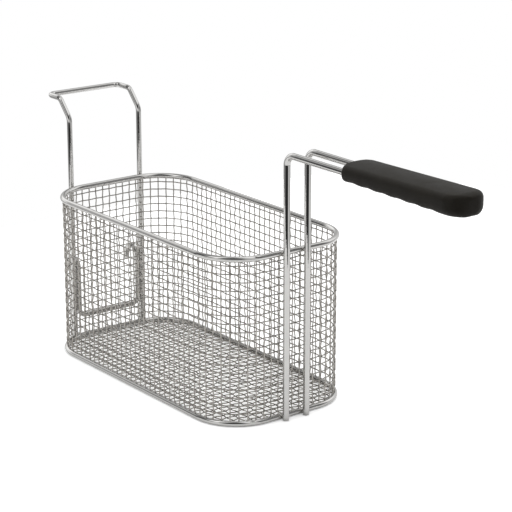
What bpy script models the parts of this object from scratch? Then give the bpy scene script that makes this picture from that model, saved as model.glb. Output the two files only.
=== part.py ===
"""Deep fryer basket.

Two heavy wire rings carry a woven wire mesh: four walls in one wrapped strip, and a floor.
A tall hook of bent wire stands behind the rear wall, with a low drain hook between its legs.
A bent hairpin of heavier wire runs up the front wall and out into a moulded grip.

Metres, +Z up, +X towards the grip, and the part is the same on its +Y and -Y sides.
Every piece is placed from the middle of the basket, on the surface it stands on. One empty
then moves them all, so that the origin is the middle of the whole part's footprint.
"""

import math

import bpy
import bmesh
import numpy as np
from mathutils import Vector

# Wire gauges
RING_WIRE = 0.0045
HANDLE_WIRE = 0.0050
HOOK_WIRE = 0.0043
QUARTER_SIDES = 2
SEAT_GAP = 0.0003
SAME_POINT = 1e-6

# Rings, measured along the middle of their wire
RING_LENGTH = 0.245
RING_WIDTH = 0.121
RING_CORNER = 0.036
RING_RISE = 0.127
CORNER_STEPS = 9

# Woven mesh. The real mesh has a 6.4 mm pitch and 1.1 mm wire. This one is drawn with twice
# the wire and about four times the pitch, which leaves the same weave and the same open look.
MESH_WIRE = 0.0022
MESH_CRIMP = 0.00044
WALL_COLUMNS = 24
WALL_ROWS = 6
TOP_ROW_GAP = 0.00295
LOW_ROW_GAP = 0.00525
BEND_PARTS = 3
FLOOR_COLUMNS = 12
FLOOR_ROWS = 6
FLOOR_EDGE = 0.0095
SHORTEST_END = 0.0025

# Tall rear hook. Its rise is measured from the middle of the rim wire.
HOOK_SPREAD = 0.0672
HOOK_RISE = 0.07235
HOOK_SLANT_RISE = 0.0144
HOOK_SLANT_REACH = 0.0134
HOOK_REACH = 0.0311
HOOK_SHOULDER_BEND = 0.009
HOOK_TOP_BEND = 0.006
HOOK_CORNER_BEND = 0.0055

# Drain hook, which lies between the legs of the tall hook
DRAIN_BAR_HEIGHT = 0.0178
DRAIN_TOP = 0.0669
DRAIN_TIP = 0.0538
DRAIN_REACH = 0.0153
DRAIN_BEND = 0.006

# Handle hairpin. Its rise is measured from the middle of the rim wire.
HANDLE_SPREAD = 0.0192
HANDLE_RISE = 0.07475
HANDLE_BEND = 0.008

# Grip. Its covers are the rubber left over, under and beside the channel that the hairpin
# lies in. Its end faces are narrow, because its plan is rounded off almost to a point.
GRIP_STANDOFF = 0.064
GRIP_LENGTH = 0.1195
GRIP_COVER = 0.0044
GRIP_UNDER_COVER = 0.0026
GRIP_SIDE_COVER = 0.0038
GRIP_TIP_COVER = 0.0145
GRIP_CROWN = 0.0015
GRIP_TOP_RISE = 0.0018
GRIP_UNDER_DROP = 0.0014
GRIP_TOP_EDGE = 0.0045
GRIP_LOWER_EDGE = 0.0055
GRIP_INNER_CORNER = 0.0055
GRIP_INNER_EDGE = 0.0020
GRIP_TIP_CORNER = 0.0140
GRIP_TIP_SLOPE = 0.0065
GRIP_TIP_DROP = 0.0037
GRIP_TIP_UNDER = 0.0030
GRIP_END_HALF = 0.0025
EDGE_SHARE = 0.8
EDGE_STEPS = 4
CROWN_STEPS = 4
INNER_STEPS = 6
TIP_STEPS = 8
FINGER_PITCH = 0.016
FINGER_DEPTH = 0.0005
FINGER_COUNT = 6
FINGER_START = 0.005
FINGER_STEPS = 5

# Heights and stand-offs that follow from the sizes above
base_z = RING_WIRE / 2
rim_z = base_z + RING_RISE
rear_x = -(RING_LENGTH / 2 + RING_WIRE / 2 + SEAT_GAP + HOOK_WIRE / 2)
front_x = RING_LENGTH / 2 + RING_WIRE / 2 + SEAT_GAP + HANDLE_WIRE / 2
hook_top_z = rim_z + HOOK_RISE
handle_z = rim_z + HANDLE_RISE
grip_x = front_x + GRIP_STANDOFF
grip_tip_x = grip_x + GRIP_LENGTH
channel_radius = HANDLE_WIRE / 2 + SEAT_GAP
back_edge_x = rear_x - HOOK_REACH - HOOK_WIRE / 2


def clear_scene():
    for item in list(bpy.data.objects):
        bpy.data.objects.remove(item, do_unlink=True)


def material(name, colour, roughness, metallic):
    """A plain finish for one piece."""
    made = bpy.data.materials.new(name)
    made.use_nodes = True
    shader = made.node_tree.nodes["Principled BSDF"]
    shader.inputs["Base Color"].default_value = (*colour, 1.0)
    shader.inputs["Roughness"].default_value = roughness
    shader.inputs["Metallic"].default_value = metallic
    return made


def place_object(name, data, finish, parent):
    """Puts one piece into the scene, under the empty that stands at the basket's middle."""
    piece = bpy.data.objects.new(name, data)
    bpy.context.scene.collection.objects.link(piece)
    data.materials.append(finish)
    piece.parent = parent
    return piece


def bent_path(corners, bends, closed=False, steps=5):
    """The middle line of a bent wire: straight runs between corners, each turned to an arc.

    An arc of radius r that turns by the angle t leaves its corner's two runs at a distance
    of r tan(t / 2) from the corner, and its centre lies on the line that halves the corner.
    """
    corners = [Vector(corner) for corner in corners]
    count = len(corners)
    path = []
    for index, corner in enumerate(corners):
        if not closed and index in (0, count - 1):
            path.append(corner)
            continue
        before = (corners[index - 1] - corner).normalized()
        after = (corners[(index + 1) % count] - corner).normalized()
        turn = math.pi - before.angle(after)
        radius = bends[index % len(bends)]
        start = corner + before * radius * math.tan(turn / 2)
        centre = corner + (before + after).normalized() * radius / math.cos(turn / 2)
        across = (start - centre).normalized()
        along = -before
        for step in range(steps + 1):
            angle = turn * step / steps
            path.append(centre + radius * (across * math.cos(angle) + along * math.sin(angle)))
    tidy = [path[0]]
    for point in path[1:]:
        if (point - tidy[-1]).length > SAME_POINT:
            tidy.append(point)
    return tidy


def wire_curve(name, path, diameter, closed=False):
    """A round wire along a path. Its flats stand at the nominal diameter, and on a level run
    they face straight up, down and sideways."""
    half_side = math.pi / (4 * QUARTER_SIDES)
    curve = bpy.data.curves.new(name, "CURVE")
    curve.dimensions = "3D"
    curve.bevel_depth = diameter / 2 / math.cos(half_side)
    curve.bevel_resolution = 2 * QUARTER_SIDES - 2
    curve.use_fill_caps = True
    spline = curve.splines.new("POLY")
    spline.points.add(len(path) - 1)
    for point, place in zip(spline.points, path):
        point.co = (*place, 1.0)
        point.tilt = half_side
    spline.use_cyclic_u = closed
    spline.use_smooth = True
    return curve


def ring_path(z):
    """The middle line of a ring: a rectangle with round corners, level at the height z."""
    x = RING_LENGTH / 2
    y = RING_WIDTH / 2
    corners = [(x, -y, z), (x, y, z), (-x, y, z), (-x, -y, z)]
    return bent_path(corners, [RING_CORNER], closed=True, steps=CORNER_STEPS)


def build_rings(parent):
    steel = material("rim_steel", (0.62, 0.62, 0.60), 0.22, 1.0)
    place_object("rim_wire", wire_curve("rim_wire", ring_path(rim_z), RING_WIRE, True), steel, parent)
    steel = material("base_steel", (0.60, 0.60, 0.58), 0.24, 1.0)
    place_object("base_wire", wire_curve("base_wire", ring_path(base_z), RING_WIRE, True), steel, parent)


class Weave:
    """A plain weave of straight-sided wires, fused where they cross.

    Columns run along v at set places in u, and rows run along u at set places in v. Each wire
    has a diamond section. Where two wires cross, one stands out by the crimp and the other
    stands in by it, and they change places at the next crossing. place(u, v, depth) gives the
    point in space, with depth measured outwards from the middle of the weave.
    """

    def __init__(self, place):
        self.place = place
        self.half = MESH_WIRE / 2
        self.crimp = MESH_CRIMP
        self.mesh = bmesh.new()
        self.crossings = {}

    def point(self, u, v, depth):
        return self.mesh.verts.new(self.place(u, v, depth))

    def cross(self, i, j, u, v):
        """The ten points and eight faces where column i passes row j."""
        half = self.half
        high = half + self.crimp
        low = half - self.crimp
        shift = 2 * self.crimp
        row_over = (i + j) % 2 == 0
        made = {"u": u, "v": v}
        for side_u in (-1, 1):
            for side_v in (-1, 1):
                made[side_u, side_v] = self.point(u + side_u * half, v + side_v * half, 0.0)
        peak = self.point(u, v, high)
        trough = self.point(u, v, -high)
        for side in (-1, 1):
            along_u = self.point(u + side * shift, v, -low if row_over else low)
            along_v = self.point(u, v + side * shift, low if row_over else -low)
            outer_u, inner_u = (peak, along_u) if row_over else (along_u, trough)
            outer_v, inner_v = (along_v, trough) if row_over else (peak, along_v)
            made["u", side] = (outer_u, inner_u)
            made["v", side] = (outer_v, inner_v)
            near_v = (made[-1, side], made[1, side])
            near_u = (made[side, -1], made[side, 1])
            tops = [(peak, along_v, near_v), (trough, along_u, near_u)]
            if not row_over:
                tops = [(peak, along_u, near_u), (trough, along_v, near_v)]
            for apex, notch, corners in tops:
                for corner in corners:
                    self.mesh.faces.new((apex, notch, corner))
        self.crossings[i, j] = made

    def section(self, crossing, axis, side):
        """The four points of a wire's section where it leaves a crossing."""
        outer, inner = crossing[axis, side]
        if axis == "u":
            return [outer, crossing[side, 1], inner, crossing[side, -1]]
        return [outer, crossing[1, side], inner, crossing[-1, side]]

    def free_section(self, axis, u, v):
        """The four points of a wire's section between crossings."""
        half = self.half
        if axis == "u":
            sides = [(u, v + half), (u, v - half)]
        else:
            sides = [(u + half, v), (u - half, v)]
        return [self.point(u, v, half), self.point(*sides[0], 0.0),
                self.point(u, v, -half), self.point(*sides[1], 0.0)]

    def skin(self, sections):
        """Closes the four sides of a wire between neighbouring sections."""
        for first, second in zip(sections, sections[1:]):
            for index in range(4):
                after = (index + 1) % 4
                self.mesh.faces.new((first[index], second[index], second[after], first[after]))

    def end(self, crossing, axis, side, reach):
        """Runs a wire on from a crossing to its cut end."""
        u = reach if axis == "u" else crossing["u"]
        v = crossing["v"] if axis == "u" else reach
        cut = self.free_section(axis, u, v)
        self.skin([self.section(crossing, axis, side), cut])
        self.mesh.faces.new(cut)

    def finish(self, name):
        bmesh.ops.recalc_face_normals(self.mesh, faces=self.mesh.faces)
        data = bpy.data.meshes.new(name)
        self.mesh.to_mesh(data)
        self.mesh.free()
        return data


def ring_point(distance):
    """The point and outward direction at a distance along a ring's middle line, from the
    middle of the front wall towards +Y."""
    straight_x = RING_LENGTH - 2 * RING_CORNER
    straight_y = RING_WIDTH - 2 * RING_CORNER
    arc = RING_CORNER * math.pi / 2
    centre_x = straight_x / 2
    centre_y = straight_y / 2
    left = (distance + straight_y / 2) % (2 * (straight_x + straight_y) + 4 * arc)
    runs = [(straight_y, 0.0, centre_x, centre_y), (straight_x, 90.0, -centre_x, centre_y),
            (straight_y, 180.0, -centre_x, -centre_y), (straight_x, 270.0, centre_x, -centre_y)]
    for straight, heading, corner_x, corner_y in runs:
        turn = math.radians(heading)
        if left <= straight:
            out = Vector((math.cos(turn), math.sin(turn), 0.0))
            along = Vector((-math.sin(turn), math.cos(turn), 0.0))
            corner = Vector((corner_x, corner_y, 0.0))
            return corner + out * RING_CORNER - along * (straight - left), out
        left -= straight
        if left <= arc:
            angle = turn + left / RING_CORNER
            out = Vector((math.cos(angle), math.sin(angle), 0.0))
            return Vector((corner_x, corner_y, 0.0)) + out * RING_CORNER, out
        left -= arc
    raise ValueError("distance lies outside the ring")


def build_wall(parent):
    """The wall strip: its rows go all the way round, and its columns end at the two rings."""
    around = 2 * (RING_LENGTH + RING_WIDTH - 4 * RING_CORNER) + 2 * math.pi * RING_CORNER
    pitch = around / WALL_COLUMNS
    low_row = base_z + RING_WIRE / 2 + LOW_ROW_GAP
    top_row = rim_z - RING_WIRE / 2 - TOP_ROW_GAP
    rows = [low_row + (top_row - low_row) * j / (WALL_ROWS - 1) for j in range(WALL_ROWS)]
    low_end = base_z + RING_WIRE / 2 + SEAT_GAP
    top_end = rim_z - RING_WIRE / 2 - SEAT_GAP

    def place(u, v, depth):
        spot, out = ring_point(u)
        return spot + out * depth + Vector((0.0, 0.0, v))

    weave = Weave(place)
    for i in range(WALL_COLUMNS):
        for j, v in enumerate(rows):
            weave.cross(i, j, (i + 0.5) * pitch, v)
    for i in range(WALL_COLUMNS):
        for j, v in enumerate(rows):
            here = weave.crossings[i, j]
            after = weave.crossings[(i + 1) % WALL_COLUMNS, j]
            turns = ring_point(here["u"])[1] != ring_point(here["u"] + pitch)[1]
            parts = BEND_PARTS if turns else 1
            between = [weave.free_section("u", here["u"] + pitch * k / parts, v) for k in range(1, parts)]
            weave.skin([weave.section(here, "u", 1), *between, weave.section(after, "u", -1)])
            if j + 1 < WALL_ROWS:
                above = weave.crossings[i, j + 1]
                weave.skin([weave.section(here, "v", 1), weave.section(above, "v", -1)])
        weave.end(weave.crossings[i, 0], "v", -1, low_end)
        weave.end(weave.crossings[i, WALL_ROWS - 1], "v", 1, top_end)
    steel = material("wall_steel", (0.58, 0.58, 0.56), 0.30, 1.0)
    place_object("wall_mesh", weave.finish("wall_mesh"), steel, parent)


def inner_reach(offset, half_offset_side, half_reach_side, corner):
    """How far a floor wire reaches before the ring, when it lies at an offset from the
    middle: the half length, less what the round corner takes off."""
    into_corner = abs(offset) - (half_offset_side - corner)
    if into_corner <= 0:
        return half_reach_side
    if into_corner >= corner:
        return 0.0
    return half_reach_side - corner + math.sqrt(corner ** 2 - into_corner ** 2)


def build_floor(parent):
    """The floor: straight wires both ways, each cut to end just inside the base ring."""
    inset = RING_WIRE / 2 + SEAT_GAP
    half_x = RING_LENGTH / 2 - inset
    half_y = RING_WIDTH / 2 - inset
    corner = RING_CORNER - inset
    half_wire = MESH_WIRE / 2
    outer_u = half_x - FLOOR_EDGE
    outer_v = half_y - FLOOR_EDGE
    columns = [outer_u * (2 * i / (FLOOR_COLUMNS - 1) - 1) for i in range(FLOOR_COLUMNS)]
    rows = [outer_v * (2 * j / (FLOOR_ROWS - 1) - 1) for j in range(FLOOR_ROWS)]
    row_reach = [inner_reach(abs(v) + half_wire, half_y, half_x, corner) for v in rows]
    column_reach = [inner_reach(abs(u) + half_wire, half_x, half_y, corner) for u in columns]
    room = half_wire + SHORTEST_END
    weave = Weave(lambda u, v, depth: Vector((u, v, base_z + depth)))
    for i, u in enumerate(columns):
        for j, v in enumerate(rows):
            if abs(u) + room <= row_reach[j] and abs(v) + room <= column_reach[i]:
                weave.cross(i, j, u, v)

    def run(axis, line, places, reach):
        """One wire from end to end, through the crossings that it has."""
        kept = [k for k in range(len(places)) if key(axis, line, k) in weave.crossings]
        limit = min([reach] + [abs(places[k]) - room for k in range(len(places))
                               if k not in kept and abs(places[k]) > abs(places[kept[-1]])])
        for first, second in zip(kept, kept[1:]):
            start = weave.crossings[key(axis, line, first)]
            stop = weave.crossings[key(axis, line, second)]
            weave.skin([weave.section(start, axis, 1), weave.section(stop, axis, -1)])
        weave.end(weave.crossings[key(axis, line, kept[0])], axis, -1, -limit)
        weave.end(weave.crossings[key(axis, line, kept[-1])], axis, 1, limit)

    def key(axis, line, k):
        return (k, line) if axis == "u" else (line, k)

    for j in range(FLOOR_ROWS):
        run("u", j, columns, row_reach[j])
    for i in range(FLOOR_COLUMNS):
        run("v", i, rows, column_reach[i])
    steel = material("floor_steel", (0.56, 0.56, 0.54), 0.30, 1.0)
    place_object("floor_mesh", weave.finish("floor_mesh"), steel, parent)


def mirrored(half):
    """Both halves of a symmetric path: the half given, then the same points at -Y, reversed."""
    return half + [(x, -y, z) for x, y, z in reversed(half)]


def build_rear_hook(parent):
    """The tall hook: two legs behind the rear wall, and a crossbar that hangs on a rail."""
    y = HOOK_SPREAD / 2
    half = [(rear_x, y, SEAT_GAP), (rear_x, y, hook_top_z - HOOK_SLANT_RISE),
            (rear_x - HOOK_SLANT_REACH, y, hook_top_z), (rear_x - HOOK_REACH, y, hook_top_z)]
    bends = [0.0, HOOK_SHOULDER_BEND, HOOK_TOP_BEND, HOOK_CORNER_BEND]
    path = bent_path(mirrored(half), bends + bends[::-1], steps=4)
    steel = material("rear_hook_steel", (0.64, 0.64, 0.62), 0.22, 1.0)
    place_object("rear_hook", wire_curve("rear_hook", path, HOOK_WIRE), steel, parent)


def build_drain_hook(parent):
    """The drain hook: a U against the rear wall, whose ends turn over and down as two hooks."""
    y = HOOK_SPREAD / 2 - HOOK_WIRE - SEAT_GAP
    tip_x = rear_x - DRAIN_REACH
    half = [(tip_x, y, DRAIN_TIP), (tip_x, y, DRAIN_TOP), (rear_x, y, DRAIN_TOP),
            (rear_x, y, DRAIN_BAR_HEIGHT)]
    bends = [0.0, DRAIN_REACH / 2, DRAIN_REACH / 2, DRAIN_BEND]
    path = bent_path(mirrored(half), bends + bends[::-1], steps=4)
    steel = material("drain_hook_steel", (0.64, 0.64, 0.62), 0.22, 1.0)
    place_object("drain_hook", wire_curve("drain_hook", path, HOOK_WIRE), steel, parent)


def handle_path():
    """The handle's middle line: up the front wall, out, and round inside the grip."""
    y = HANDLE_SPREAD / 2
    end_x = grip_tip_x - GRIP_TIP_COVER - channel_radius
    half = [(front_x, y, SEAT_GAP), (front_x, y, handle_z), (end_x, y, handle_z)]
    bends = [0.0, HANDLE_BEND, HANDLE_SPREAD / 2]
    return bent_path(mirrored(half), bends + bends[::-1], steps=5)


def build_handle(parent):
    steel = material("handle_steel", (0.64, 0.64, 0.62), 0.20, 1.0)
    place_object("handle_wire", wire_curve("handle_wire", handle_path(), HANDLE_WIRE), steel, parent)


def drawn_in(distance, length, depth):
    """How far a rounded end has drawn in, at a distance from its end face. The rounding is a
    quarter of an ellipse that is so long and so deep."""
    if distance >= length:
        return 0.0
    return depth * (1 - math.sqrt(1 - (1 - distance / length) ** 2))


def grip_section(x):
    """The outline of the grip at x: a rectangle with round corners and a slightly domed top,
    hollowed underneath for each finger. It gets deeper towards the tip, and it is rounded off
    at both ends."""
    from_inner = x - grip_x
    from_tip = grip_tip_x - x
    full_half = HANDLE_SPREAD / 2 + channel_radius + GRIP_SIDE_COVER
    rounded = full_half - GRIP_END_HALF
    half_width = full_half - drawn_in(from_inner, GRIP_INNER_CORNER, rounded)
    half_width -= drawn_in(from_tip, GRIP_TIP_CORNER, rounded)
    inner_edge = drawn_in(from_inner, GRIP_INNER_EDGE, GRIP_INNER_EDGE)
    finger = (from_inner - FINGER_START) / FINGER_PITCH
    hollow = 0.0
    if 0 < finger < FINGER_COUNT:
        hollow = FINGER_DEPTH * (1 - math.cos(2 * math.pi * finger)) / 2
    top = handle_z + channel_radius + GRIP_COVER + GRIP_TOP_RISE * from_inner / GRIP_LENGTH
    top -= inner_edge + drawn_in(from_tip, GRIP_TIP_SLOPE, GRIP_TIP_DROP)
    bottom = handle_z - channel_radius - GRIP_UNDER_COVER + hollow
    bottom -= GRIP_UNDER_DROP * from_inner / GRIP_LENGTH
    bottom += inner_edge + drawn_in(from_tip, GRIP_TIP_UNDER, GRIP_TIP_UNDER)
    outline = []
    for corner, (side_y, side_z) in enumerate([(1, 1), (-1, 1), (-1, -1), (1, -1)]):
        radius = min(GRIP_TOP_EDGE if side_z > 0 else GRIP_LOWER_EDGE, EDGE_SHARE * half_width)
        centre_y = side_y * (half_width - radius)
        centre_z = top - radius if side_z > 0 else bottom + radius
        for step in range(EDGE_STEPS):
            angle = math.pi / 2 * (corner + step / (EDGE_STEPS - 1))
            outline.append((centre_y + radius * math.cos(angle), centre_z + radius * math.sin(angle)))
        if corner == 0:
            outline += [(centre_y * (1 - 2 * step / CROWN_STEPS), top) for step in range(1, CROWN_STEPS)]
    level = (top + bottom) / 2
    domed = []
    for y, z in outline:
        fall = GRIP_CROWN * (y / full_half) ** 2 if z > level else 0.0
        domed.append((x, y, z - fall))
    return domed


def grip_stations():
    """Where the grip's sections stand: close together round both ends, and evenly along the
    finger hollows between them."""
    inner = [GRIP_INNER_CORNER * (1 - math.cos(math.pi / 2 * step / INNER_STEPS))
             for step in range(INNER_STEPS + 1)]
    tip = [GRIP_LENGTH - GRIP_TIP_CORNER * (1 - math.cos(math.pi / 2 * step / TIP_STEPS))
           for step in range(TIP_STEPS, -1, -1)]
    step = FINGER_PITCH / FINGER_STEPS
    fingers = [FINGER_START + step * k for k in range(FINGER_COUNT * FINGER_STEPS + 1)]
    middle = [along for along in fingers if inner[-1] + step / 2 < along < tip[0] - step / 2]
    return [grip_x + along for along in inner + middle + tip]


def build_grip(parent):
    """The moulded grip, with a channel that the hairpin lies in."""
    loft = bmesh.new()
    sections = [[loft.verts.new(point) for point in grip_section(x)] for x in grip_stations()]
    for first, second in zip(sections, sections[1:]):
        for index in range(len(first)):
            after = (index + 1) % len(first)
            loft.faces.new((first[index], second[index], second[after], first[after]))
    loft.faces.new(sections[0])
    loft.faces.new(sections[-1])
    bmesh.ops.recalc_face_normals(loft, faces=loft.faces)
    data = bpy.data.meshes.new("grip")
    loft.to_mesh(data)
    loft.free()
    rubber = material("grip_rubber", (0.035, 0.034, 0.032), 0.55, 0.0)
    grip = place_object("grip", data, rubber, parent)

    channel_curve = wire_curve("channel", handle_path(), HANDLE_WIRE + 2 * SEAT_GAP)
    channel_source = bpy.data.objects.new("channel_source", channel_curve)
    bpy.context.scene.collection.objects.link(channel_source)
    bpy.context.view_layer.update()
    graph = bpy.context.evaluated_depsgraph_get()
    channel_mesh = bpy.data.meshes.new_from_object(channel_source.evaluated_get(graph))
    bpy.data.objects.remove(channel_source, do_unlink=True)
    channel = bpy.data.objects.new("channel", channel_mesh)
    bpy.context.scene.collection.objects.link(channel)
    channel.parent = parent
    channel.hide_render = True
    channel.display_type = "WIRE"
    cut = grip.modifiers.new("channel", "BOOLEAN")
    cut.operation = "DIFFERENCE"
    cut.object = channel


def main():
    clear_scene()
    centre = bpy.data.objects.new("basket_centre", None)
    centre.location.x = -(grip_tip_x + back_edge_x) / 2
    bpy.context.scene.collection.objects.link(centre)
    build_rings(centre)
    build_wall(centre)
    build_floor(centre)
    build_rear_hook(centre)
    build_drain_hook(centre)
    build_handle(centre)
    build_grip(centre)


main()
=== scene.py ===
"""Deep fryer basket, dressed for its photograph.

The solids are loaded as a fixed frame. Round, smooth wires and the real fine mesh take the
place of the plain ones, piece by piece, and stand on the same lines and in the same places.

Metres, +Z up, +X towards the grip. Every path is laid out from the middle of the basket, and
basket_x then moves it to where the loaded solids stand.
"""

import math

import bpy
import numpy as np
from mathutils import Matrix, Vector


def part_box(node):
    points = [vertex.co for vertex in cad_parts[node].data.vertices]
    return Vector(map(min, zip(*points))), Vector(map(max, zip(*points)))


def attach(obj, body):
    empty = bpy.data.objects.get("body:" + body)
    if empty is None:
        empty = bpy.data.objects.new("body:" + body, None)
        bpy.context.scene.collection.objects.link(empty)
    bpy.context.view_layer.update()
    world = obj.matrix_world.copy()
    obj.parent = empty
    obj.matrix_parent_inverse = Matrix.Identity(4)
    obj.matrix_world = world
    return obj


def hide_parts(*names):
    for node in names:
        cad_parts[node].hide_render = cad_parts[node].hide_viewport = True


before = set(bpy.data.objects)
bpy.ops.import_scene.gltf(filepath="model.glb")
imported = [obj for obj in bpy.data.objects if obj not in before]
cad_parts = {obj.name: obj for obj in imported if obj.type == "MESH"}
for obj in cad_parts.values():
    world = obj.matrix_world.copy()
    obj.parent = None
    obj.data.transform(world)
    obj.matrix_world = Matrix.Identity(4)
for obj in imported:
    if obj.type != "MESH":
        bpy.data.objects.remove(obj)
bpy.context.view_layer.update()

# Rings
RING_WIRE = 0.0045
RING_LENGTH = 0.245
RING_WIDTH = 0.121
RING_CORNER = 0.036
RING_STATIONS = 360

# Woven mesh, at its real gauge and pitch
MESH_WIRE = 0.00095
MESH_PITCH = 0.00635
MESH_CRIMP = 0.00034
WALL_ROWS = 19
WALL_COLUMNS = 102
TOP_ROW_DROP = 0.0052
STATIONS_PER_GAP = 5
MESH_SIDES = 8

# Hooks and handle
HOOK_WIRE = 0.0043
HANDLE_WIRE = 0.0050
SEAT_GAP = 0.0003
WIRE_SIDES = 24
WIRE_STEP = 0.0012
RUN_STEP = 4 * WIRE_STEP
SAME_POINT = 1e-6

HOOK_SPREAD = 0.0672
HOOK_RISE = 0.07235
HOOK_SLANT_RISE = 0.0144
HOOK_SLANT_REACH = 0.0134
HOOK_REACH = 0.0311
HOOK_SHOULDER_BEND = 0.009
HOOK_TOP_BEND = 0.006
HOOK_CORNER_BEND = 0.0055

DRAIN_BAR_HEIGHT = 0.0178
DRAIN_TOP = 0.0669
DRAIN_TIP = 0.0538
DRAIN_REACH = 0.0153
DRAIN_BEND = 0.006

HANDLE_SPREAD = 0.0192
HANDLE_RISE = 0.07475
HANDLE_BEND = 0.008
HAIRPIN_FLAT = 1e-5

# Grip
GRIP_COVER = 0.0044
GRIP_UNDER_COVER = 0.0026
GRIP_SIDE_COVER = 0.0038
GRIP_TIP_COVER = 0.0145
GRIP_CROWN = 0.0015
GRIP_TOP_RISE = 0.0018
GRIP_UNDER_DROP = 0.0014
GRIP_TOP_EDGE = 0.0045
GRIP_LOWER_EDGE = 0.0055
GRIP_INNER_CORNER = 0.0055
GRIP_INNER_EDGE = 0.0020
GRIP_TIP_CORNER = 0.0140
GRIP_TIP_SLOPE = 0.0065
GRIP_TIP_DROP = 0.0037
GRIP_TIP_UNDER = 0.0030
GRIP_END_HALF = 0.0025
EDGE_SHARE = 0.8
FINGER_PITCH = 0.016
FINGER_DEPTH = 0.0005
FINGER_COUNT = 6
FINGER_START = 0.005
GRIP_STATIONS = 240
GRIP_EVEN_SHARE = 0.2
GRIP_CORNER_STEPS = 10
CROWN_STEPS = 12

# Weld beads: half sizes along X, Y and Z, where they sit between the rear legs, and their facets
FRONT_BEAD = (0.0010, 0.0017, 0.0017)
REAR_BEAD = (0.0010, 0.0016, 0.0016)
LEG_BEAD = (0.0014, 0.0008, 0.0040)
LEG_BEAD_ABOVE_BAR = 0.012
LEG_BEAD_BELOW_TOP = 0.014
BEAD_RINGS = 13
BEAD_SIDES = 16
BEAD_POLE = 0.02

# Finishes: colours, roughness from least to most, and the sizes of their patterns in mm. The
# grains of the mesh and the grip are drawn coarser than the real ones, so that they show.
MM = 0.001
STEEL_TINTS = ("d7d6d4", "cdccca")
STEEL_ROUGHNESS = (0.02, 0.05)
STREAK_LENGTH = 25 * MM
STREAK_WIDTH = 0.3846 * MM
STREAK_SHARE = 0.5
HAZE_LENGTH = 14.286 * MM
HAZE_WIDTH = 6.25 * MM
MARK_PITCH = 6.2 * MM
MARK_DEPTH = 0.003 * MM
MARK_EDGE = 0.55

MESH_TINTS = ("bebbb6", "9e9a94")
MESH_ROUGHNESS = (0.06, 0.16)
MESH_BLOTCH = 18.182 * MM
MESH_GRAIN = 1.1111 * MM
MESH_GRAIN_DEPTH = 0.05 * MM
MESH_GRAIN_STRENGTH = 0.4

GRIP_TINTS = ("181613", "26231d")
GRIP_ROUGHNESS = (0.40, 0.50)
GRIP_SPECULAR = 0.14
GRIP_BLOTCH = 14.286 * MM
GRIP_GRAIN = 0.9091 * MM
GRIP_GRAIN_DEPTH = 0.25 * MM
GRIP_GRAIN_STRENGTH = 0.6

TABLE_TINTS = ("f4f4f4", "f7f7f7")
TABLE_ROUGHNESS = 0.9
TABLE_CLOUD = 111.11 * MM

# The light that the table top adds for the camera alone
FLOOR_LIFT = 0.37

# The values of a noise over which a roughness goes from least to most
NOISE_LOW = 0.3
NOISE_HIGH = 0.7

# Camera, solved from the rings, legs and hooks in the photograph
CAMERA_AZIMUTH = math.radians(52.7633)
CAMERA_ELEVATION = math.radians(16.9754)
CAMERA_DISTANCE = 1.45957
CAMERA_AIM = (0.0782, 0.0, 0.11439)
CAMERA_LENS = 136.81
CAMERA_SENSOR = 36.0

# Lamp and table top
LAMP_SIZE = 1.6
LAMP_HEIGHT = 1.4
LAMP_ENERGY = 13.0
TABLE_OUTLINE = [(0.515, -0.30), (0.515, 0.30), (0.25, 0.42), (0.18, 0.58), (-0.20, 0.62), (-0.42, 0.50),
                 (-0.45, 0.30), (-0.45, -0.25), (-0.41, -0.44), (-0.27, -0.52), (0.04, -0.60),
                 (0.24, -0.49), (0.36, -0.40)]

# The room's brightness in four bands, each as (angle, level) pairs. The angle is in degrees from
# the camera's side, and grows towards the right of the picture.
ROOM_BELOW = [(-180, 0.4), (-140, 0.5), (-128, 0.35), (-90, 0.34), (-62, 0.18), (-38, 0.06), (-15, 0.02),
              (15, 0.03), (35, 0.13), (45, 0.3), (52, 0.6), (58, 1.0), (70, 1.1), (78, 0.8), (85, 0.5),
              (92, 0.4), (105, 0.4), (115, 0.7), (125, 1.0), (140, 1.2), (160, 0.8), (180, 0.4)]
ROOM_HORIZON = [(-180, 0.5), (-165, 0.45), (-152, 0.5), (-138, 1.1), (-115, 1.0), (-106, 0.5),
                (-101, 0.0), (-96, 0.6), (-86, 1.2), (-65, 1.0), (-40, 1.2), (-22, 0.65), (15, 0.6),
                (40, 0.9), (52, 0.42), (63, 0.25), (70, 0.1), (100, 0.35), (150, 0.8), (180, 0.5)]
ROOM_RING = [(-180, 0.5), (-172, 0.55), (-160, 1.3), (-142, 1.3), (-130, 1.15), (-120, 0.8), (-112, 0.5),
             (-104, 0.05), (-80, 0.0), (-62, 0.1), (-53, 0.3), (-46, 0.75), (-38, 0.25), (-30, 0.0),
             (12, 0.0), (24, 0.45), (34, 0.72), (45, 0.7), (58, 0.04), (72, 0.35), (85, 0.1), (97, 0.4),
             (110, 1.1), (130, 1.2), (150, 0.8), (180, 0.5)]
ROOM_HIGH = [(-180, 0.95), (-160, 0.4), (-115, 0.2), (-92, 0.2), (-82, 0.6), (-74, 1.5), (-62, 1.75),
             (-50, 1.25), (-35, 0.35), (-15, 0.16), (5, 0.28), (20, 0.57), (35, 1.15), (55, 1.45),
             (72, 1.45), (90, 1.1), (110, 0.8), (130, 0.8), (155, 0.95), (180, 0.95)]

# Where each band turns to the next: from and to so many degrees above the horizon, and how far
# the turn leans, so that it comes lower on the left of the picture than on the right
ROOM_TURNS = [(-13, -1, 0.0), (3, 20, 0.0), (40, 49, 0.17)]
ROOM_STRENGTH = 1.8

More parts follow.
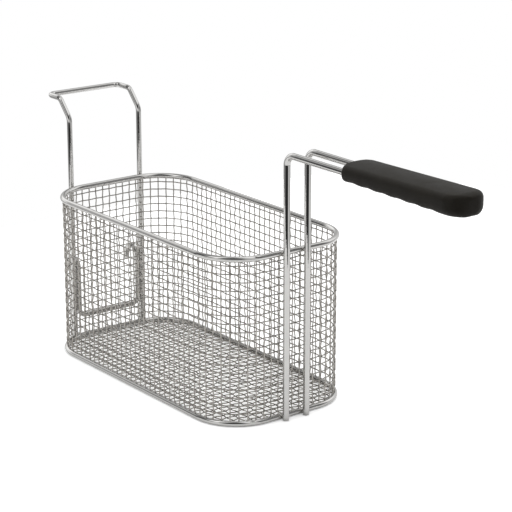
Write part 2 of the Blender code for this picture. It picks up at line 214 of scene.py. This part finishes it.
# The places that the solids give
rim_low, rim_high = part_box("rim_wire")
base_low, base_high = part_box("base_wire")
grip_low, grip_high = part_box("grip")
basket_x = (rim_low.x + rim_high.x) / 2
rim_z = (rim_low.z + rim_high.z) / 2
base_z = (base_low.z + base_high.z) / 2
rear_x = -(RING_LENGTH / 2 + RING_WIRE / 2 + SEAT_GAP + HOOK_WIRE / 2)
front_x = RING_LENGTH / 2 + RING_WIRE / 2 + SEAT_GAP + HANDLE_WIRE / 2
hook_top_z = rim_z + HOOK_RISE
handle_z = rim_z + HANDLE_RISE
grip_x = grip_low.x - basket_x
grip_tip_x = grip_high.x - basket_x
channel_radius = HANDLE_WIRE / 2 + SEAT_GAP


# Shapes

def unit(vectors):
    """Each vector divided by its length."""
    return vectors / np.linalg.norm(vectors, axis=-1, keepdims=True)


def place_mesh(name, grid, closed=False, along=None):
    """One mesh from grids of points (grid, station, round, xyz). Each point is joined to the next
    one round the grid and to the same one at the next station. A closed grid's last station is
    joined to its first, and an open grid has a cap at each end. The attribute wire_place keeps
    each corner's place on the straightened wire, for the marks of its drawing: the distance
    along it, and the handle wire's radius, whatever the wire, times (cos a, sin a) round it."""
    count, stations, around, _ = grid.shape
    index = np.arange(count * stations * around).reshape(count, stations, around)
    if closed:
        here, after = index, np.roll(index, -1, axis=1)
    else:
        here, after = index[:, :-1], index[:, 1:]
    quads = np.stack([here, np.roll(here, -1, axis=2), np.roll(after, -1, axis=2), after], axis=-1)
    faces = quads.reshape(-1, 4).tolist()
    if not closed:
        faces += index[:, 0, ::-1].tolist() + index[:, -1].tolist()
    data = bpy.data.meshes.new(name)
    data.from_pydata((grid + (basket_x, 0.0, 0.0)).reshape(-1, 3).tolist(), [], faces)
    data.polygons.foreach_set("use_smooth", np.ones(len(faces), bool))
    if along is not None:
        turn = 2 * math.pi * np.arange(around + 1) / around
        spot = np.stack(np.broadcast_arrays(
            along[..., None], np.cos(turn) * HANDLE_WIRE / 2, np.sin(turn) * HANDLE_WIRE / 2), axis=-1)
        corners = np.stack([spot[:, :-1, :-1], spot[:, :-1, 1:], spot[:, 1:, 1:], spot[:, 1:, :-1]], axis=3)
        flat = corners.reshape(-1, 3)
        caps = np.zeros((len(data.loops) - len(flat), 3))
        places = data.attributes.new("wire_place", "FLOAT_VECTOR", "CORNER")
        places.data.foreach_set("vector", np.concatenate([flat, caps]).ravel())
    data.update()
    piece = bpy.data.objects.new(name, data)
    bpy.context.scene.collection.objects.link(piece)
    return piece


def round_wires(name, lines, radius, sides, closed=False, off=(1.0, 1.0, 1.0)):
    """Round wires along middle lines (wire, station, xyz). A point of the surface is the middle
    line's point plus the radius times (cos a * side + sin a * lift), where a goes once round the
    wire. Side is square to the line and to a direction off it that the wire never takes, and
    lift is square to the line and to side."""
    if closed:
        direction = np.roll(lines, -1, axis=1) - np.roll(lines, 1, axis=1)
    else:
        direction = np.gradient(lines, axis=1)
    direction = unit(direction)
    side = unit(np.cross(direction, np.asarray(off)))
    lift = np.cross(direction, side)
    turn = (2 * math.pi * np.arange(sides) / sides)[:, None]
    round_line = np.cos(turn) * side[:, :, None] + np.sin(turn) * lift[:, :, None]
    grid = lines[:, :, None] + radius * round_line
    ends = np.concatenate([lines, lines[:, :1]], axis=1) if closed else lines
    steps = np.linalg.norm(np.diff(ends, axis=1), axis=-1)
    along = np.concatenate([np.zeros((len(lines), 1)), np.cumsum(steps, axis=1)], axis=1)
    return place_mesh(name, grid, closed, along)


def ring_lap():
    """The distance once round a ring's middle line: its straight sides and four quarter circles."""
    return 2 * (RING_LENGTH + RING_WIDTH - 4 * RING_CORNER) + 2 * math.pi * RING_CORNER


def ring_place(distance):
    """A ring's middle line, as (x, y, outward x, outward y), at a distance from the middle of its
    front side. The distance is folded into one quarter of the ring: half the front side, then a
    quarter circle, then half the long side. The signs then unfold it."""
    front_half = RING_WIDTH / 2 - RING_CORNER
    lap = np.mod(distance, ring_lap())
    half = np.minimum(lap, ring_lap() - lap)
    quarter = np.minimum(half, ring_lap() / 2 - half)
    turn = np.clip((quarter - front_half) / RING_CORNER, 0, math.pi / 2)
    past = np.maximum(quarter - front_half - RING_CORNER * math.pi / 2, 0)
    sign_x = np.where(half > ring_lap() / 4, -1, 1)
    sign_y = np.where(lap > ring_lap() / 2, -1, 1)
    x = RING_LENGTH / 2 - RING_CORNER + RING_CORNER * np.cos(turn) - past
    y = np.minimum(quarter, front_half) + RING_CORNER * np.sin(turn)
    return sign_x * x, sign_y * y, sign_x * np.cos(turn), sign_y * np.sin(turn)


def bent_line(corners, bends):
    """The middle line of a bent wire: straight runs, and at each corner an arc of its bend's
    radius. An arc's point is its centre plus the radius times (cos a * across - sin a * back),
    where across points from the centre to the arc's start, and back points back along the run
    before it. The points stand close together on the arcs and evenly on the runs."""
    corners = [np.array(corner) for corner in corners]
    knots = [corners[0]]
    for before, corner, after, radius in zip(corners, corners[1:], corners[2:], bends[1:]):
        back, on = unit(before - corner), unit(after - corner)
        turn = math.pi - math.acos(float(back @ on))
        start = corner + back * radius * math.tan(turn / 2)
        centre = corner + unit(back + on) * radius / math.cos(turn / 2)
        across = unit(start - centre)
        angles = np.linspace(0, turn, max(5, round(radius * turn / WIRE_STEP) + 1))[:, None]
        knots += list(centre + radius * (across * np.cos(angles) - back * np.sin(angles)))
    knots.append(corners[-1])
    line = [knots[0]]
    for first, second in zip(knots, knots[1:]):
        length = np.linalg.norm(second - first)
        if length > SAME_POINT:
            parts = max(1, round(length / RUN_STEP))
            line += [first + (second - first) * part / parts for part in range(1, parts + 1)]
    return np.array(line)[None]


def both_halves(half):
    """A symmetric path's corners: the half given, then the same ones at -Y, reversed."""
    return half + [(x, -y, z) for x, y, z in reversed(half)]


def bent_wire(name, half, bends, gauge):
    """A symmetric bent wire, from one half's corners and the bend at each."""
    return round_wires(name, bent_line(both_halves(half), bends + bends[::-1]), gauge / 2, WIRE_SIDES)


def ring(name, z):
    """A ring's wire: the rectangle with round corners, level at the height z."""
    distance = ring_lap() * (np.arange(RING_STATIONS) / RING_STATIONS + 0.5)
    x, y, _, _ = ring_place(distance)
    line = np.stack([x, y, np.full_like(x, z)], axis=-1)[None]
    return round_wires(name, line, RING_WIRE / 2, WIRE_SIDES, closed=True, off=(0.0, 0.0, 1.0))


def tall_hook():
    """Two legs behind the rear wall, which slant outwards to a level crossbar."""
    y = HOOK_SPREAD / 2
    half = [(rear_x, y, SEAT_GAP), (rear_x, y, hook_top_z - HOOK_SLANT_RISE),
            (rear_x - HOOK_SLANT_REACH, y, hook_top_z), (rear_x - HOOK_REACH, y, hook_top_z)]
    bends = [0.0, HOOK_SHOULDER_BEND, HOOK_TOP_BEND, HOOK_CORNER_BEND]
    return bent_wire("tall_hook", half, bends, HOOK_WIRE)


def low_hook():
    """A U behind the rear wall, whose ends turn over and down."""
    y = HOOK_SPREAD / 2 - HOOK_WIRE - SEAT_GAP
    tip_x = rear_x - DRAIN_REACH
    half = [(tip_x, y, DRAIN_TIP), (tip_x, y, DRAIN_TOP), (rear_x, y, DRAIN_TOP),
            (rear_x, y, DRAIN_BAR_HEIGHT)]
    return bent_wire("low_hook", half, [0.0, DRAIN_REACH / 2, DRAIN_REACH / 2, DRAIN_BEND], HOOK_WIRE)


def handle_hairpin():
    """Two legs up the front wall, bent over to the grip and joined by a round end inside it."""
    y = HANDLE_SPREAD / 2
    end_x = grip_tip_x - GRIP_TIP_COVER - channel_radius
    half = [(front_x, y, SEAT_GAP), (front_x, y, handle_z), (end_x, y, handle_z)]
    return bent_wire("handle_hairpin", half, [0.0, HANDLE_BEND, y - HAIRPIN_FLAT], HANDLE_WIRE)


def wall_rows():
    """The level wires of the walls. Row k keeps to the ring's line, and stands out from it by the
    crimp times cos(pi (s / pitch + k)), with s the distance round and pitch one gap."""
    stations = WALL_COLUMNS * STATIONS_PER_GAP
    gaps = np.arange(stations) / STATIONS_PER_GAP
    x, y, out_x, out_y = ring_place(gaps * ring_lap() / WALL_COLUMNS)
    k = np.arange(WALL_ROWS)[:, None]
    out = MESH_CRIMP * np.cos(math.pi * (gaps + k))
    z = np.broadcast_to(rim_z - TOP_ROW_DROP - MESH_PITCH * k, out.shape)
    lines = np.stack([x + out * out_x, y + out * out_y, z], axis=-1)
    return round_wires("wall_rows", lines, MESH_WIRE / 2, MESH_SIDES, closed=True, off=(0.0, 0.0, 1.0))


def wall_columns():
    """The upright wires of the walls, from the base ring to the rim. Column j stands in from the
    ring's line where the rows stand out: by the crimp times cos(pi (h / pitch + j)), with h the
    drop below the top row."""
    j = np.arange(WALL_COLUMNS)[:, None]
    x, y, out_x, out_y = ring_place(j * ring_lap() / WALL_COLUMNS)
    gaps = (rim_z - base_z) / MESH_PITCH
    z = np.linspace(base_z, rim_z, round(gaps * STATIONS_PER_GAP) + 1)
    out = -MESH_CRIMP * np.cos(math.pi * ((rim_z - TOP_ROW_DROP - z) / MESH_PITCH + j))
    lines = np.stack([x + out * out_x, y + out * out_y, np.broadcast_to(z, out.shape)], axis=-1)
    return round_wires("wall_columns", lines, MESH_WIRE / 2, MESH_SIDES)


def reach(offset, half_across, half_along):
    """How far a floor wire goes before it meets the ring's line, at an offset from the middle:
    the half length less the corner's radius, plus the root of (the radius squared minus into
    squared), where into is how far the offset has gone into the round corner."""
    into = np.clip(np.abs(offset) - (half_across - RING_CORNER), 0, RING_CORNER)
    return half_along - RING_CORNER + np.sqrt(RING_CORNER ** 2 - into ** 2)


def floor_wires(name, lengthwise):
    """The floor's wires one way. Wire j lies at j pitches from the middle and rises and falls by
    the crimp times cos(pi (t / pitch + j)), with t the distance along it; the wires that cross it
    fall where it rises."""
    half_along, half_across = RING_LENGTH / 2, RING_WIDTH / 2
    if not lengthwise:
        half_along, half_across = half_across, half_along
    most = math.floor(half_across / MESH_PITCH - 0.5)
    j = np.arange(-most, most + 1)[:, None]
    end = reach(j * MESH_PITCH, half_across, half_along)
    stations = round(2 * half_along / MESH_PITCH * STATIONS_PER_GAP)
    t = end * np.linspace(-1, 1, stations)
    rise = MESH_CRIMP * np.cos(math.pi * (t / MESH_PITCH + j))
    across = np.broadcast_to(j * MESH_PITCH, t.shape)
    if lengthwise:
        lines = np.stack([t, across, base_z + rise], axis=-1)
    else:
        lines = np.stack([across, t, base_z - rise], axis=-1)
    return round_wires(name, lines, MESH_WIRE / 2, MESH_SIDES, off=(0.0, 0.0, 1.0))


def drawn_in(distance, length, depth):
    """How far a rounded end has drawn in, at a distance from its end face: a quarter of an ellipse
    that is so long and so deep, or depth times (1 - the root of (1 - left squared)), where left
    falls evenly from 1 at the end face to 0 where the rounding ends."""
    left = 1 - np.clip(distance / length, 0, 1)
    return depth * (1 - np.sqrt(1 - left ** 2))


def moulded_grip():
    """The grip: sections square to X, each a rectangle with round corners under a dome, which
    falls by the crown times (y / half width) squared. Their width and depth follow the ends'
    quarter ellipses, an even deepening towards the tip, and the finger hollows, each of which is
    the depth times (1 - cos a) / 2, where a goes once round over a finger's pitch."""
    even = np.arange(GRIP_STATIONS + 1) / GRIP_STATIONS
    length = grip_tip_x - grip_x
    crowded = (1 - np.cos(math.pi * even)) / 2
    from_inner = length * (GRIP_EVEN_SHARE * even + (1 - GRIP_EVEN_SHARE) * crowded)
    from_tip = length - from_inner
    full_half = HANDLE_SPREAD / 2 + channel_radius + GRIP_SIDE_COVER
    rounded = full_half - GRIP_END_HALF
    half_width = full_half - drawn_in(from_inner, GRIP_INNER_CORNER, rounded)
    half_width = half_width - drawn_in(from_tip, GRIP_TIP_CORNER, rounded)
    inner_edge = drawn_in(from_inner, GRIP_INNER_EDGE, GRIP_INNER_EDGE)
    finger = np.clip((from_inner - FINGER_START) / FINGER_PITCH, 0, FINGER_COUNT)
    hollow = FINGER_DEPTH * (1 - np.cos(2 * math.pi * finger)) / 2
    top = handle_z + channel_radius + GRIP_COVER + GRIP_TOP_RISE * from_inner / length
    top = top - inner_edge - drawn_in(from_tip, GRIP_TIP_SLOPE, GRIP_TIP_DROP)
    bottom = handle_z - channel_radius - GRIP_UNDER_COVER - GRIP_UNDER_DROP * from_inner / length
    bottom = bottom + hollow + inner_edge + drawn_in(from_tip, GRIP_TIP_UNDER, GRIP_TIP_UNDER)
    rings = []
    for corner, (side_y, side_z) in enumerate([(1, 1), (-1, 1), (-1, -1), (1, -1)]):
        radius = np.minimum(GRIP_TOP_EDGE if side_z > 0 else GRIP_LOWER_EDGE, EDGE_SHARE * half_width)
        middle_y = (side_y * (half_width - radius))[:, None]
        middle_z = (top - radius if side_z > 0 else bottom + radius)[:, None]
        angle = math.pi / 2 * (corner + np.arange(GRIP_CORNER_STEPS + 1) / GRIP_CORNER_STEPS)
        turned = radius[:, None] * np.stack([np.cos(angle), np.sin(angle)])[:, None]
        rings.append(np.stack([middle_y + turned[0], middle_z + turned[1]], axis=-1))
        if corner == 0:
            across = middle_y * (1 - 2 * np.arange(1, CROWN_STEPS) / CROWN_STEPS)
            rings.append(np.stack([across, np.broadcast_to(top[:, None], across.shape)], axis=-1))
    section = np.concatenate(rings, axis=1)
    y, z = section[..., 0], section[..., 1]
    above = z > ((top + bottom) / 2)[:, None]
    z = z - np.where(above, GRIP_CROWN * (y / full_half) ** 2, 0)
    x = np.broadcast_to((grip_x + from_inner)[:, None], y.shape)
    return place_mesh("moulded_grip", np.stack([x, y, z], axis=-1)[None])


def weld_beads():
    """The spot welds where bent wires meet the rings and each other: small flattened balls. A
    point is the middle plus the half sizes times (-cos v, sin v cos u, sin v sin u)."""
    contact_x = RING_LENGTH / 2 + RING_WIRE / 2 + SEAT_GAP / 2
    contact_y = HOOK_SPREAD / 2 - HOOK_WIRE / 2 - SEAT_GAP / 2
    spots = []
    for side in (-1, 1):
        for z in (base_z, rim_z):
            spots.append((contact_x, side * HANDLE_SPREAD / 2, z, *FRONT_BEAD))
            spots.append((-contact_x, side * HOOK_SPREAD / 2, z, *REAR_BEAD))
        for z in (DRAIN_BAR_HEIGHT + LEG_BEAD_ABOVE_BAR, DRAIN_TOP - LEG_BEAD_BELOW_TOP):
            spots.append((rear_x, side * contact_y, z, *LEG_BEAD))
    spots = np.array(spots)
    v = np.linspace(BEAD_POLE, math.pi - BEAD_POLE, BEAD_RINGS)[:, None]
    u = 2 * math.pi * np.arange(BEAD_SIDES) / BEAD_SIDES
    ball = np.stack(np.broadcast_arrays(-np.cos(v), np.sin(v) * np.cos(u), np.sin(v) * np.sin(u)), axis=-1)
    return place_mesh("weld_beads", spots[:, None, None, :3] + spots[:, None, None, 3:] * ball)


# Materials

def linear(hex_colour):
    """An sRGB hex colour as linear RGBA."""
    parts = [int(hex_colour[k:k + 2], 16) / 255 for k in (0, 2, 4)]
    return (*[c / 12.92 if c <= 0.04045 else ((c + 0.055) / 1.055) ** 2.4 for c in parts], 1.0)


def add_node(tree, kind, inputs=None, **settings):
    """Adds a node, sets its own settings, and sets or links its inputs by name or number."""
    made = tree.nodes.new(kind)
    for key, value in settings.items():
        setattr(made, key, value)
    for key, value in (inputs or {}).items():
        if isinstance(value, bpy.types.NodeSocket):
            tree.links.new(value, made.inputs[key])
        else:
            made.inputs[key].default_value = value
    return made


def new_material(name):
    """An empty node material and its tree."""
    made = bpy.data.materials.new(name)
    made.use_nodes = True
    made.node_tree.nodes.clear()
    return made, made.node_tree


def polished_steel():
    """Drawn and polished steel wire, bright plated. It gives the eye a mirror drawn out along the
    wire: sharp black and white lines, softened by fine streaks where the die drew it, by faint
    slanted marks where the rollers straightened it, and by a haze that comes and goes."""
    made, tree = new_material("polished_plated_steel")
    place = add_node(tree, "ShaderNodeAttribute", attribute_name="wire_place").outputs["Vector"]
    streaks_at = add_node(tree, "ShaderNodeMapping", {
        "Vector": place, "Scale": (1 / STREAK_LENGTH, 1 / STREAK_WIDTH, 1 / STREAK_WIDTH)})
    streaks = add_node(tree, "ShaderNodeTexNoise", {
        "Vector": streaks_at.outputs["Vector"], "Scale": 1.0, "Detail": 3.0})
    haze_at = add_node(tree, "ShaderNodeMapping", {
        "Vector": place, "Scale": (1 / HAZE_LENGTH, 1 / HAZE_WIDTH, 1 / HAZE_WIDTH)})
    haze = add_node(tree, "ShaderNodeTexNoise", {
        "Vector": haze_at.outputs["Vector"], "Scale": 1.0, "Detail": 4.0})
    parts = add_node(tree, "ShaderNodeSeparateXYZ", {"Vector": place})
    turn = add_node(tree, "ShaderNodeMath", {
        0: parts.outputs["Z"], 1: parts.outputs["Y"]}, operation="ARCTAN2")
    steps = add_node(tree, "ShaderNodeMath", {
        0: parts.outputs["X"], 1: 2 * math.pi / MARK_PITCH, 2: turn.outputs[0]}, operation="MULTIPLY_ADD")
    helix = add_node(tree, "ShaderNodeMath", {0: steps.outputs[0]}, operation="SINE")
    marks = add_node(tree, "ShaderNodeMapRange", {
        "Value": helix.outputs[0], "From Min": MARK_EDGE, "From Max": 1.0, "To Min": 0.0, "To Max": 1.0})
    height = add_node(tree, "ShaderNodeMath", {
        0: streaks.outputs["Fac"], 1: STREAK_SHARE, 2: marks.outputs["Result"]}, operation="MULTIPLY_ADD")
    bump = add_node(tree, "ShaderNodeBump", {
        "Height": height.outputs[0], "Strength": 1.0, "Distance": MARK_DEPTH})
    tint = add_node(tree, "ShaderNodeMix", {
        "Factor": haze.outputs["Fac"], 6: linear(STEEL_TINTS[0]), 7: linear(STEEL_TINTS[1])},
        data_type="RGBA")
    rough = add_node(tree, "ShaderNodeMapRange", {
        "Value": haze.outputs["Fac"], "From Min": NOISE_LOW, "From Max": NOISE_HIGH,
        "To Min": STEEL_ROUGHNESS[0], "To Max": STEEL_ROUGHNESS[1]})
    shader = add_node(tree, "ShaderNodeBsdfPrincipled", {
        "Base Color": tint.outputs[2], "Metallic": 1.0,
        "Roughness": rough.outputs["Result"], "Normal": bump.outputs["Normal"]})
    add_node(tree, "ShaderNodeOutputMaterial", {"Surface": shader.outputs["BSDF"]})
    return made


def woven_steel():
    """Fine drawn steel wire, as woven, which isn't polished. It gives the eye small glints that
    are a little duller and warmer than the heavy wires, and lighter and darker from place to
    place. The real grain is finer than the wire; it is drawn about as wide as the wire, so that
    the glints break up."""
    made, tree = new_material("woven_steel_wire")
    place = add_node(tree, "ShaderNodeTexCoord").outputs["Object"]
    blotch = add_node(tree, "ShaderNodeTexNoise", {"Vector": place, "Scale": 1 / MESH_BLOTCH, "Detail": 3.0})
    grain = add_node(tree, "ShaderNodeTexNoise", {"Vector": place, "Scale": 1 / MESH_GRAIN, "Detail": 2.0})
    bump = add_node(tree, "ShaderNodeBump", {
        "Height": grain.outputs["Fac"], "Strength": MESH_GRAIN_STRENGTH, "Distance": MESH_GRAIN_DEPTH})
    tint = add_node(tree, "ShaderNodeMix", {
        "Factor": blotch.outputs["Fac"], 6: linear(MESH_TINTS[0]), 7: linear(MESH_TINTS[1])},
        data_type="RGBA")
    rough = add_node(tree, "ShaderNodeMapRange", {
        "Value": grain.outputs["Fac"], "From Min": NOISE_LOW, "From Max": NOISE_HIGH,
        "To Min": MESH_ROUGHNESS[0], "To Max": MESH_ROUGHNESS[1]})
    shader = add_node(tree, "ShaderNodeBsdfPrincipled", {
        "Base Color": tint.outputs[2], "Metallic": 1.0,
        "Roughness": rough.outputs["Result"], "Normal": bump.outputs["Normal"]})
    add_node(tree, "ShaderNodeOutputMaterial", {"Surface": shader.outputs["BSDF"]})
    return made


def grip_plastic():
    """Charcoal moulded plastic with a fine spark-eroded grain. It gives the eye a satin, nearly
    black skin with a soft sheen on top. The real grain is about a tenth of a millimetre; it is
    drawn coarser, so that it shows."""
    made, tree = new_material("charcoal_moulded_plastic")
    place = add_node(tree, "ShaderNodeTexCoord").outputs["Object"]
    grain = add_node(tree, "ShaderNodeTexNoise", {"Vector": place, "Scale": 1 / GRIP_GRAIN, "Detail": 4.0})
    blotch = add_node(tree, "ShaderNodeTexNoise", {"Vector": place, "Scale": 1 / GRIP_BLOTCH, "Detail": 3.0})
    bump = add_node(tree, "ShaderNodeBump", {
        "Height": grain.outputs["Fac"], "Strength": GRIP_GRAIN_STRENGTH, "Distance": GRIP_GRAIN_DEPTH})
    tint = add_node(tree, "ShaderNodeMix", {
        "Factor": blotch.outputs["Fac"], 6: linear(GRIP_TINTS[0]), 7: linear(GRIP_TINTS[1])},
        data_type="RGBA")
    rough = add_node(tree, "ShaderNodeMapRange", {
        "Value": blotch.outputs["Fac"], "From Min": NOISE_LOW, "From Max": NOISE_HIGH,
        "To Min": GRIP_ROUGHNESS[0], "To Max": GRIP_ROUGHNESS[1]})
    shader = add_node(tree, "ShaderNodeBsdfPrincipled", {
        "Base Color": tint.outputs[2], "Specular IOR Level": GRIP_SPECULAR,
        "Roughness": rough.outputs["Result"], "Normal": bump.outputs["Normal"]})
    add_node(tree, "ShaderNodeOutputMaterial", {"Surface": shader.outputs["BSDF"]})
    return made


def table_white():
    """The table top's matt white. It is lifted to pure white for the camera alone, so that the
    basket's soft shadow still lies on it."""
    made, tree = new_material("white_table_top")
    place = add_node(tree, "ShaderNodeTexCoord").outputs["Object"]
    cloud = add_node(tree, "ShaderNodeTexNoise", {"Vector": place, "Scale": 1 / TABLE_CLOUD, "Detail": 3.0})
    tint = add_node(tree, "ShaderNodeMix", {
        "Factor": cloud.outputs["Fac"], 6: linear(TABLE_TINTS[0]), 7: linear(TABLE_TINTS[1])},
        data_type="RGBA")
    shader = add_node(tree, "ShaderNodeBsdfPrincipled", {
        "Base Color": tint.outputs[2], "Roughness": TABLE_ROUGHNESS,
        "Specular IOR Level": 0.0})
    path = add_node(tree, "ShaderNodeLightPath")
    lift = add_node(tree, "ShaderNodeMath", {
        0: path.outputs["Is Camera Ray"], 1: FLOOR_LIFT}, operation="MULTIPLY")
    glow = add_node(tree, "ShaderNodeEmission", {"Color": linear("ffffff"), "Strength": lift.outputs[0]})
    both = add_node(tree, "ShaderNodeAddShader", {0: shader.outputs["BSDF"], 1: glow.outputs["Emission"]})
    add_node(tree, "ShaderNodeOutputMaterial", {"Surface": both.outputs["Shader"]})
    return made


# Studio

def build_table():
    """The white table top. The camera never sees where it ends, because the room is just as white
    to the camera, but the bright wires do: past it they show the room's own light and dark."""
    data = bpy.data.meshes.new("table_top")
    points = [(x + basket_x, y, 0.0) for x, y in TABLE_OUTLINE]
    data.from_pydata(points, [], [tuple(range(len(points)))])
    table = bpy.data.objects.new("table_top", data)
    bpy.context.scene.collection.objects.link(table)
    data.materials.append(table_white())


def build_room():
    """The room as the wires see it, in bands from the floor past the table up to the ceiling:
    bright walls at the left and right rear with a greyer stretch between them, two soft boxes on
    either side of the camera, and dark round the camera itself. The upper band starts lower on
    the left of the picture than on the right. The room is fixed by the direction of the ray. The
    camera alone sees plain white."""
    world = bpy.data.worlds.new("studio")
    bpy.context.scene.world = world
    world.use_nodes = True
    tree = world.node_tree
    tree.nodes.clear()
    ray = add_node(tree, "ShaderNodeTexCoord").outputs["Generated"]
    back = (math.sin(CAMERA_AZIMUTH), -math.cos(CAMERA_AZIMUTH), 0.0)
    right = (math.cos(CAMERA_AZIMUTH), math.sin(CAMERA_AZIMUTH), 0.0)
    toward, aside = [add_node(tree, "ShaderNodeVectorMath", {0: ray, 1: axis},
                              operation="DOT_PRODUCT").outputs["Value"] for axis in (back, right)]
    height = add_node(tree, "ShaderNodeSeparateXYZ", {"Vector": ray}).outputs["Z"]
    angle = add_node(tree, "ShaderNodeMath", {0: aside, 1: toward}, operation="ARCTAN2")
    share = add_node(tree, "ShaderNodeMapRange", {
        "Value": angle.outputs[0], "From Min": -math.pi, "From Max": math.pi, "To Min": 0.0, "To Max": 1.0})
    bands = []
    for stops in (ROOM_BELOW, ROOM_HORIZON, ROOM_RING, ROOM_HIGH):
        ramp = add_node(tree, "ShaderNodeValToRGB", {"Fac": share.outputs["Result"]})
        while len(ramp.color_ramp.elements) < len(stops):
            ramp.color_ramp.elements.new(0.5)
        for element, (degrees, level) in zip(ramp.color_ramp.elements, stops):
            element.position = (degrees + 180) / 360
            element.color = (*[level / ROOM_STRENGTH] * 3, 1.0)
        bands.append(ramp.outputs["Color"])
    room = bands[0]
    for band, (start, end, lean) in zip(bands[1:], ROOM_TURNS):
        leaned = add_node(tree, "ShaderNodeMath", {0: aside, 1: -lean, 2: height}, operation="MULTIPLY_ADD")
        turn = add_node(tree, "ShaderNodeMapRange", {
            "Value": leaned.outputs[0], "From Min": math.sin(math.radians(start)),
            "From Max": math.sin(math.radians(end))}, interpolation_type="SMOOTHSTEP")
        room = add_node(tree, "ShaderNodeMix", {"Factor": turn.outputs["Result"], 6: room, 7: band},
                        data_type="RGBA", clamp_result=False).outputs[2]
    bright = add_node(tree, "ShaderNodeVectorMath", {0: room, "Scale": ROOM_STRENGTH}, operation="SCALE")
    path = add_node(tree, "ShaderNodeLightPath")
    seen = add_node(tree, "ShaderNodeMix", {
        "Factor": path.outputs["Is Camera Ray"], 6: bright.outputs["Vector"], 7: linear("ffffff")},
        data_type="RGBA", clamp_result=False)
    light = add_node(tree, "ShaderNodeBackground", {"Color": seen.outputs[2], "Strength": 1.0})
    add_node(tree, "ShaderNodeOutputWorld", {"Surface": light.outputs["Background"]})


def build_lamp():
    """A broad soft lamp over the table. It lights the matt surfaces and lays the soft shadow, and
    the bright wires don't show it."""
    data = bpy.data.lights.new("soft_overhead", "AREA")
    data.shape = "SQUARE"
    data.size = LAMP_SIZE
    data.energy = LAMP_ENERGY
    lamp = bpy.data.objects.new("soft_overhead", data)
    lamp.location = (basket_x, 0.0, LAMP_HEIGHT)
    lamp.visible_glossy = False
    bpy.context.scene.collection.objects.link(lamp)


def build_camera():
    """The photograph's camera, aimed from its azimuth, elevation and distance."""
    back = Vector((math.sin(CAMERA_AZIMUTH) * math.cos(CAMERA_ELEVATION),
                   -math.cos(CAMERA_AZIMUTH) * math.cos(CAMERA_ELEVATION), math.sin(CAMERA_ELEVATION)))
    data = bpy.data.cameras.new("photo_camera")
    data.lens = CAMERA_LENS
    data.sensor_width = CAMERA_SENSOR
    camera = bpy.data.objects.new("photo_camera", data)
    camera.location = Vector(CAMERA_AIM) + Vector((basket_x, 0, 0)) + back * CAMERA_DISTANCE
    camera.rotation_euler = (-back).to_track_quat("-Z", "Y").to_euler()
    bpy.context.scene.collection.objects.link(camera)
    bpy.context.scene.camera = camera


def dress(piece, finish, slot, *nodes):
    """Gives a piece its finish, hangs it under the root, and hides the solids that it stands for. The slot
    is not used.
    """
    piece.data.materials.append(finish)
    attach(piece, "root")
    if nodes:
        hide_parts(*nodes)


heavy = polished_steel()
fine = woven_steel()
dress(ring("rim_ring", rim_z), heavy, "wire_steel", "rim_wire")
dress(ring("base_ring", base_z), heavy, "wire_steel", "base_wire")
dress(tall_hook(), heavy, "wire_steel", "rear_hook")
dress(low_hook(), heavy, "wire_steel", "drain_hook")
dress(handle_hairpin(), heavy, "wire_steel", "handle_wire")
dress(moulded_grip(), grip_plastic(), "grip_plastic", "grip")
dress(wall_rows(), fine, "mesh_steel", "wall_mesh")
dress(wall_columns(), fine, "mesh_steel", "wall_mesh")
dress(floor_wires("floor_long_wires", True), fine, "mesh_steel", "floor_mesh")
dress(floor_wires("floor_cross_wires", False), fine, "mesh_steel", "floor_mesh")
dress(weld_beads(), fine, "wire_steel")
build_table()
build_room()
build_lamp()
build_camera()
bpy.context.scene.view_settings.view_transform = "Standard"
